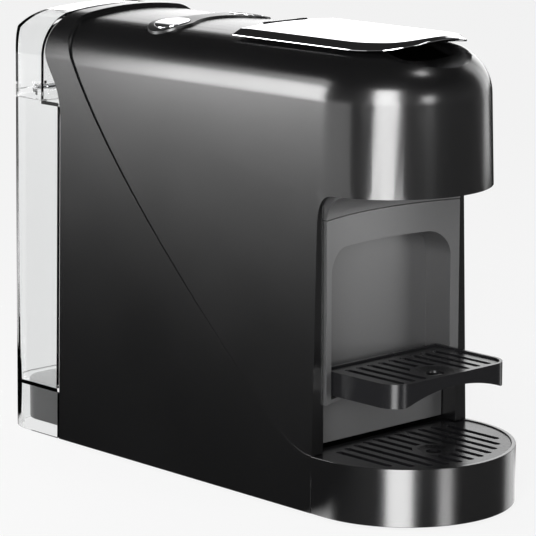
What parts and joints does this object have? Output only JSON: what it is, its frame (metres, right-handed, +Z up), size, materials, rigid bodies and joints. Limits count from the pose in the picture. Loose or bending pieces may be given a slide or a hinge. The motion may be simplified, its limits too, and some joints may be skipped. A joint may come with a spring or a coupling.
{
  "type": "pod coffee machine",
  "caption": "Slim pod coffee machine with a lever head, a cup shelf that folds into a pull-out capsule bin, a drip tray and a clear rear water tank.",
  "frame": {"origin": "middle of the machine's length and width, at the bottom of its feet", "axes": "+Z up, the cup bay faces -Y, the water tank is at +Y"},
  "size_m": [0.115, 0.3216, 0.245],
  "materials": {
    "body_plastic": "satin black moulded plastic",
    "base_plastic": "satin black moulded plastic",
    "bay_plastic": "semi-gloss black plastic",
    "grille_plastic": "semi-gloss black plastic",
    "pad_plastic": "satin black plastic",
    "inner_plastic": "plain moulded plastic",
    "rubber": "matt rubber",
    "steel": "turned steel",
    "pump_metal": "plain",
    "cast_alloy": "as cast",
    "board": "green lacquer",
    "hose": "silicone",
    "chrome": "polished",
    "clear_plastic": "clear, polished"
  },
  "bodies": {
    "body": {"front_shell": "body_plastic", "rear_shell": "body_plastic", "base_plate": "inner_plastic", "feet": "rubber", "base_screws": "steel", "tank_pedestal": "base_plastic", "head_plate": "bay_plastic", "coffee_spout": "inner_plastic", "chassis": "inner_plastic", "pump": "pump_metal", "pump_mounts": "rubber", "thermoblock": "cast_alloy", "brew_chamber": "inner_plastic", "control_board": "board", "button_switches": "inner_plastic", "control_pad": "pad_plastic", "hoses": "hose", "tank_valve": "inner_plastic", "cord_gland": "rubber", "lever_pin": "steel"},
    "lever": {"lever": "chrome"},
    "brew_piston": {"brew_piston": "steel"},
    "espresso_button": {"espresso_button": "chrome"},
    "lungo_button": {"lungo_button": "chrome"},
    "drip_tray": {"drip_tray": "body_plastic"},
    "drip_grille": {"drip_grille": "grille_plastic"},
    "capsule_bin": {"capsule_bin": "bay_plastic", "bay_panel": "bay_plastic"},
    "cup_shelf": {"cup_shelf": "grille_plastic", "shelf_pins": "steel"},
    "water_tank": {"water_tank": "clear_plastic", "lid_pin": "steel"},
    "tank_lid": {"tank_lid": "clear_plastic"}
  },
  "joints": [
    {"name": "lever_hinge", "type": "hinge", "parent": "body", "child": "lever", "pos_m": [0, -0.01225, 0.2398], "axis": [-1, 0, 0], "range_deg": [0, 85]},
    {"name": "brew_piston_slide", "type": "slide", "parent": "body", "child": "brew_piston", "axis": [0, 1, 0], "range_m": [0, 0.014]},
    {"name": "espresso_button_press", "type": "slide", "parent": "body", "child": "espresso_button", "axis": [0, 0, -1], "range_m": [0, 0.0015], "stiffness_N_per_m": 600},
    {"name": "lungo_button_press", "type": "slide", "parent": "body", "child": "lungo_button", "axis": [0, 0, -1], "range_m": [0, 0.0015], "stiffness_N_per_m": 600},
    {"name": "drip_tray_slide", "type": "slide", "parent": "body", "child": "drip_tray", "axis": [0, -1, 0], "range_m": [0, 0.12]},
    {"name": "drip_grille_lift", "type": "slide", "parent": "drip_tray", "child": "drip_grille", "axis": [0, 0, 1], "range_m": [0, 0.02]},
    {"name": "capsule_bin_slide", "type": "slide", "parent": "body", "child": "capsule_bin", "axis": [0, -1, 0], "range_m": [0, 0.1]},
    {"name": "cup_shelf_fold", "type": "hinge", "parent": "capsule_bin", "child": "cup_shelf", "pos_m": [0, -0.08725, 0.0635], "axis": [-1, 0, 0], "range_deg": [0, 88]},
    {"name": "water_tank_slide", "type": "slide", "parent": "body", "child": "water_tank", "axis": [0, 1, 0], "range_m": [0, 0.07]},
    {"name": "tank_lid_hinge", "type": "hinge", "parent": "water_tank", "child": "tank_lid", "pos_m": [0, 0.1551, 0.1918], "axis": [-1, 0, 0], "range_deg": [0, 90]}
  ],
  "couplings": [
    {"joint": "brew_piston_slide", "follows": "lever_hinge", "m_per_rad": 0.0094}
  ]
}
